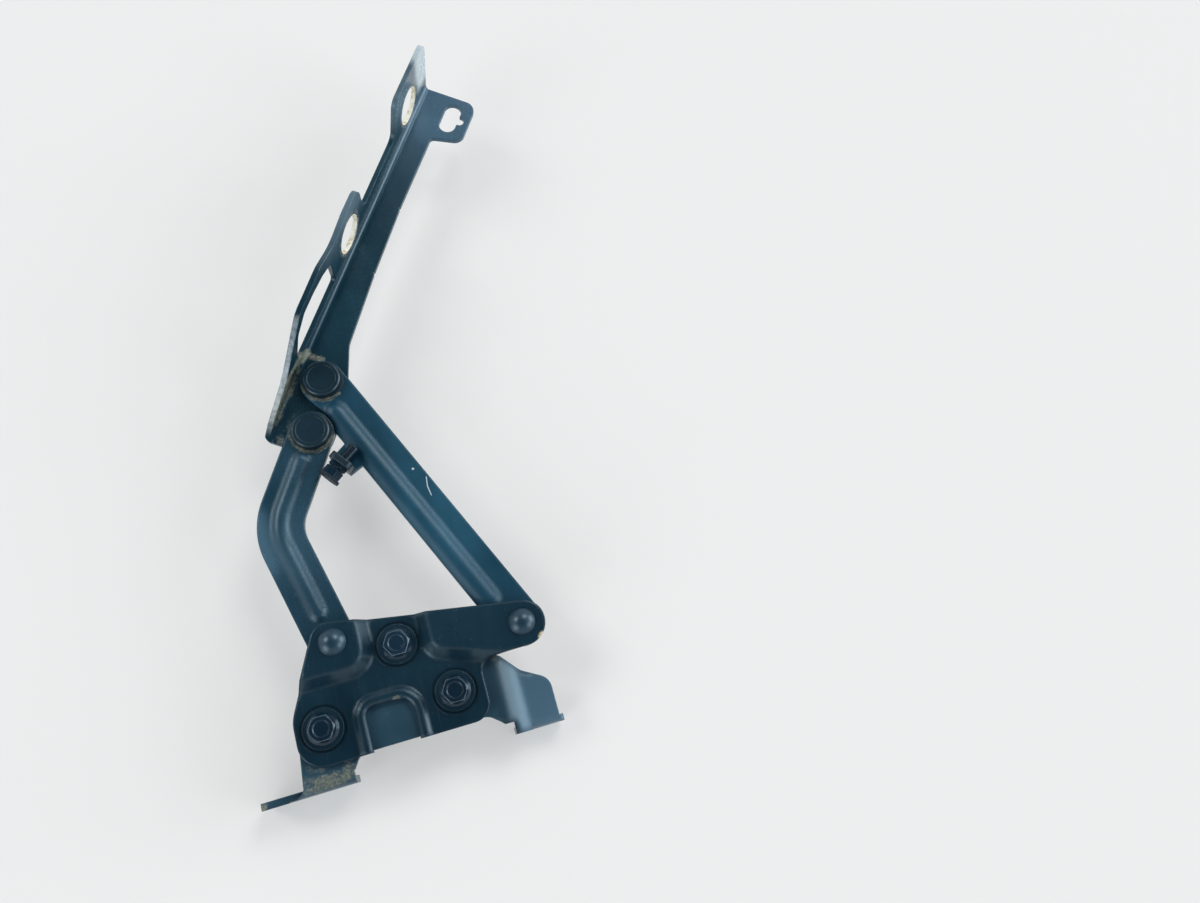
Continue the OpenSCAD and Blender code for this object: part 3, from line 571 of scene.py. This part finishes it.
def arm_dirt():
    """Dirt over the arm's bend at the pivot end, up its flange and across its web."""
    up_flange = [(57, 21.5), (52, 25), (46, 29), (40, 30), (33, 29.5), (26, 28), (18, 26.5), (10, 24)]
    points = [on_arm(start, 3, rise) for start, rise in up_flange]
    runs = [(start, end, 6 * MM, 0.95) for start, end in zip(points, points[1:])]
    runs.append((on_arm(46, 3, 24), on_arm(14, 3, 22), 5 * MM, 0.75))
    runs.append((on_arm(57, 3, 21.5), on_arm(57, -7, WEB_TOP), 3.5 * MM, 0.8))
    runs.append((on_arm(2, -5, WEB_TOP), on_arm(16, -7, WEB_TOP), 7 * MM, 0.5))
    return runs


def road_dirt():
    """The runs of road dirt on each paint that carries some; one run on the plate also stands for a painted
    highlight.
    """
    rear = pin_dirt(REAR_PIN, -185, -25)
    front = pin_dirt(FRONT_PIN, -177, -50)
    rear_foot = (smear([(-52, 4.5), (-45, 5.5), (-38, 6)], 19.5, 8, 0.78)
                 + smear([(-58, 6), (-35, 7)], 19.5, 10, 0.5)
                 + smear([(-56, 9), (-44, 10.5), (-34, 11)], SEAT_Z, 4, 0.4)
                 + smear([(-83, 2)], 14, 5, 0.95)
                 + smear([(-57, 16), (-54, 12), (-46, 10.8)], SEAT_Z, 3, 0.5))
    front_tab = smear([(53, 44), (56, 42)], SEAT_Z, 3.5, 0.7) + smear([(66, 8), (82, 8)], 12, 3, 0.4)
    # the second run on the plate, on the front joggle near the plate's edge, is tan dirt and a painted highlight
    plate = smear([(-4, 37), (-2, 37)], SEAT_Z + 4, 2.5, 0.6) + smear([(45, 48.5), (51, 46.5)], 25, 3.5, 0.7)
    return {
        "bracket": rear_foot + front_tab,
        "plate": plate,
        "pin_washers": rear + front,
        "short_link": rear + smear([(-36.5, 94), (-36, 90)], LINK_TOP + 1, 3, 0.6),
        "long_link": front,
        "arm": arm_dirt(),
    }


def pressed_runs():
    """The runs of the pressed forms on each sheet: rims, joggles, steps and beads."""
    notch_rim = smear([(-23.5, 10), (-23.5, 31.5), (-21.2, 37.2), (-15.5, 39.5), (-3, 39.5), (4.8, 36.3),
                       (8, 28.5), (8, 10)], 26, 6, 1)
    rear_joggle = smear([(-11.9, 92), (-11.9, 68.5), (-15.5, 59.9), (-24.1, 56.3), (-62, 56.3)], 28, 8.5, 1)
    front_joggle = smear([(19.9, 90), (19.9, 62.5), (22, 56.5), (26.4, 53.4), (64, 40.4)], 28, 8.5, 1)
    return {
        "bracket": smear([(59.5, 4), (59.5, 48)], 16, 15, 1),
        "plate": notch_rim + rear_joggle + front_joggle,
        "short_link": smear([(-25.2, 182.3), (-39.6, 157.8), (-43.8, 145.8), (-43.2, 133.2), (-33.5, 93.5)],
                            LINK_TOP + 1, 9, 1),
        "long_link": smear([(0, 207), (59.7, 75.4)], LINK_TOP + 1, 10, 1),
    }


def paint_the_hinge():
    """The finish of each slot, put on the pieces that the record gives it."""
    dirt = road_dirt()
    forms = pressed_runs()
    paints = {
        "bracket": dip_paint("bracket_paint", (0.014, 0.04, 0.062), (0.034, 0.08, 0.122), rough=0.3,
                             wear=0.5, dust=0.7, stains=dirt["bracket"], marks=bracket_marks, soft_edge=1.4,
                             pressed=forms["bracket"], pressed_round=6),
        "plate": dip_paint("plate_paint", (0.0035, 0.0155, 0.027), (0.008, 0.028, 0.045), rough=0.23, gloss=0.5,
                           wear=0.3, dust=0.22, stains=dirt["plate"], marks=plate_marks, soft_edge=1.8,
                           pressed=forms["plate"], pressed_round=3.6),
        "bolts": dip_paint("bolt_coat", (0.0022, 0.009, 0.019), (0.006, 0.022, 0.04), rough=0.25,
                           wear=0.1, dust=0.3, marks=bolt_marks, soft_edge=0.3),
        "washers": dip_paint("washer_coat", (0.0035, 0.0145, 0.025), (0.008, 0.026, 0.041), rough=0.3,
                             wear=0.5, dust=0.5, soft_edge=0.5),
        "rivets": dip_paint("rivet_paint", (0.0035, 0.016, 0.03), (0.01, 0.034, 0.056), rough=0.32, gloss=0.6,
                            wear=0.3, dust=0.4, soft_edge=0.6),
        "pins": dip_paint("pin_paint", (0.0032, 0.0135, 0.023), (0.007, 0.023, 0.036), rough=0.28,
                          wear=0.4, dust=0.25, soft_edge=0.6),
        "pin_washers": dip_paint("pin_washer_paint", (0.008, 0.0176, 0.024), (0.032, 0.04, 0.04), rough=0.44,
                                 wear=0.4, dust=0.5, stains=dirt["pin_washers"], soft_edge=0.4),
        "short_link": dip_paint("short_link_paint", (0.006, 0.03, 0.05), (0.024, 0.064, 0.098), rough=0.26,
                                wear=0.4, dust=0.4, stains=dirt["short_link"], marks=short_marks, soft_edge=1.6,
                                pressed=forms["short_link"], pressed_round=3.6),
        "long_link": dip_paint("long_link_paint", (0.004, 0.034, 0.06), (0.012, 0.068, 0.115), rough=0.35,
                               wear=0.3, dust=0.3, stains=dirt["long_link"], marks=link_marks, soft_edge=1.6,
                               pressed=forms["long_link"], pressed_round=4.5),
        "arm": dip_paint("arm_paint", (0.003, 0.021, 0.035), (0.009, 0.038, 0.058), rough=0.26,
                         wear=0.4, dust=0.35, stains=dirt["arm"], marks=arm_marks, soft_edge=0.9),
        "stop_screw": dip_paint("stop_screw_coat", (0.002, 0.01, 0.021), (0.006, 0.023, 0.04), rough=0.24,
                                wear=0.3, dust=0.2, soft_edge=0.4),
        "weld_nuts": plain_steel("weld_nut_steel", (0.2, 0.2, 0.2), (0.07, 0.075, 0.08)),
        "spacers": plain_steel("tail_steel", (0.24, 0.24, 0.235), (0.1, 0.1, 0.1), 0.38),
        "bushes": bush_bronze("bush_bronze"),
        "stop_pad": pad_rubber("pad_rubber"),
    }
    for part in frame["record"]["subparts"]:
        for slot in nodes[part["node"]].material_slots:
            slot.material = paints[part["material_slot"]]
    return paints


def make_piece(name, mesh_maker, place, material, body):
    """A new piece from a bmesh, put in place and carried by a body of the hinge."""
    shape = bmesh.new()
    mesh_maker(shape)
    bmesh.ops.remove_doubles(shape, verts=shape.verts, dist=1e-6)
    bmesh.ops.recalc_face_normals(shape, faces=shape.faces)
    bmesh.ops.transform(shape, matrix=place, verts=shape.verts)
    mesh = bpy.data.meshes.new(name)
    shape.to_mesh(mesh)
    shape.free()
    for face in mesh.polygons:
        face.use_smooth = True
    mesh.materials.append(material)
    piece = bpy.data.objects.new(name, mesh)
    scene.collection.objects.link(piece)
    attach(piece, body)


def spin_section(shape, points, capped, **spin):
    """A section in the plane of X and Z, in metres, spun round Z, with or without a face at each end."""
    face = shape.faces.new([shape.verts.new((x, 0, z)) for x, z in points])
    section = [*face.edges, *face.verts]
    if capped:
        section.append(face)
    else:
        shape.faces.remove(face)
    bmesh.ops.spin(shape, geom=section, cent=(0, 0, 0), axis=(0, 0, 1), **spin)


def screw_thread(shape):
    """A rolled thread: one ridge run up the stop screw along Z, its foot sunk in the shank."""
    foot = (THREAD_RADIUS - 0.15) * MM
    crest = THREAD_RADIUS * MM + 0.3 * MM
    half_foot = 0.42 * THREAD_PITCH * MM
    half_crest = 0.06 * THREAD_PITCH * MM
    turns = THREAD_LENGTH / THREAD_PITCH
    steps = round(turns * 28)
    spin_section(shape, [(foot, -half_foot), (crest, -half_crest), (crest, half_crest), (foot, half_foot)],
                 True, dvec=(0, 0, THREAD_LENGTH * MM / steps), angle=2 * math.pi * turns, steps=steps)


def weld_ring(shape):
    """A weld fillet: a rippled corner of metal run round a nut."""
    middle = WELD_INNER * 0.65 + WELD_OUTER * 0.35
    spin_section(shape, [(WELD_INNER * MM, 0), (WELD_OUTER * MM, 0), (middle * MM, -WELD_HEIGHT * 0.45 * MM),
                         (WELD_INNER * MM, -WELD_HEIGHT * MM)],
                 False, angle=2 * math.pi, steps=60, use_merge=True)
    for vert in shape.verts:
        turn = math.atan2(vert.co.y, vert.co.x)
        ripple = 1 + 0.018 * math.sin(17 * turn) + 0.012 * math.sin(7 * turn + 1)
        if math.hypot(vert.co.x, vert.co.y) > WELD_INNER * 1.01 * MM:
            vert.co.x *= ripple
            vert.co.y *= ripple


def dress_the_hinge(paints):
    """The thread of the stop screw, and the welds of the nuts behind the bracket."""
    on_lug = Matrix.Translation(at(0, THREAD_START, STOP_Z)) @ Matrix.Rotation(math.radians(-90), 4, "X")
    make_piece("stop_screw_thread", screw_thread, lug_place() @ on_lug,
               paints["stop_screw"], "long_arm")
    for where, centre in PLATE_BOLTS.items():
        under = Matrix.Translation(at(*centre, SEAT_Z - BRACKET_SHEET))
        make_piece("weld_" + where, weld_ring, under, paints["weld_nuts"], "bracket")


def set_camera():
    data = bpy.data.cameras.new("hinge_view")
    data.lens = CAMERA_LENS
    data.sensor_width = CAMERA_SENSOR
    data.clip_start = CAMERA_NEAR
    camera = bpy.data.objects.new("hinge_view", data)
    camera.location = CAMERA_PLACE
    camera.rotation_euler = Euler([math.radians(a) for a in CAMERA_TURN])
    scene.collection.objects.link(camera)
    scene.camera = camera


def add_sun(name, azimuth, elevation, spread, strength, tint):
    """A far soft light from a direction in degrees, with its spread in the sky."""
    data = bpy.data.lights.new(name, "SUN")
    data.energy = strength
    data.angle = math.radians(spread)
    data.color = tint
    turn, tilt = math.radians(azimuth), math.radians(elevation)
    source = Vector((math.cos(turn) * math.cos(tilt), math.sin(turn) * math.cos(tilt), math.sin(tilt)))
    lamp = bpy.data.objects.new(name, data)
    lamp.rotation_euler = source.to_track_quat("Z", "Y").to_euler()
    scene.collection.objects.link(lamp)


def pale_room():
    """A room with pale walls, which give less light than they show, and a dim ceiling."""
    scene.world = bpy.data.worlds.new("pale_room")
    room = Finish(scene.world, "Background")
    way = room.node("ShaderNodeTexCoord", {}, {}, "Generated")
    up = room.node("ShaderNodeSeparateXYZ", {}, {0: way}, "Z")
    wall = room.mix(WALL_LIGHT, BACKDROP, room.shown())
    room.set(Color=room.mix(CEILING, wall, room.ease(up, 0.97, 0.55)))


def pale_floor():
    """A wide pale sheet under the hinge, with a glow where it is seen."""
    sheet = bmesh.new()
    bmesh.ops.create_grid(sheet, x_segments=2, y_segments=2, size=FLOOR_HALF)
    bmesh.ops.translate(sheet, vec=(0, 0, FLOOR_Z * MM), verts=sheet.verts)
    mesh = bpy.data.meshes.new("floor")
    sheet.to_mesh(mesh)
    sheet.free()
    floor = bpy.data.objects.new("floor", mesh)
    scene.collection.objects.link(floor)

    f = new_finish("pale_floor")
    f.set(Base_Color=FLOOR_PAPER, Roughness=0.9)
    glow = f.node("ShaderNodeEmission", {}, {"Color": BACKDROP})
    paper = Value(f, f.shader.outputs[0])
    blend = f.node("ShaderNodeMixShader", {}, {0: f.shown() * FLOOR_GLOW, 1: paper, 2: glow})
    f.feed(f.tree.nodes["Material Output"].inputs["Surface"], blend)
    mesh.materials.append(f.material)


set_camera()
scene.view_settings.view_transform = "Standard"
pale_room()
pale_floor()
for name, settings in LIGHTS.items():
    add_sun(name, *settings)
paints = paint_the_hinge()
dress_the_hinge(paints)
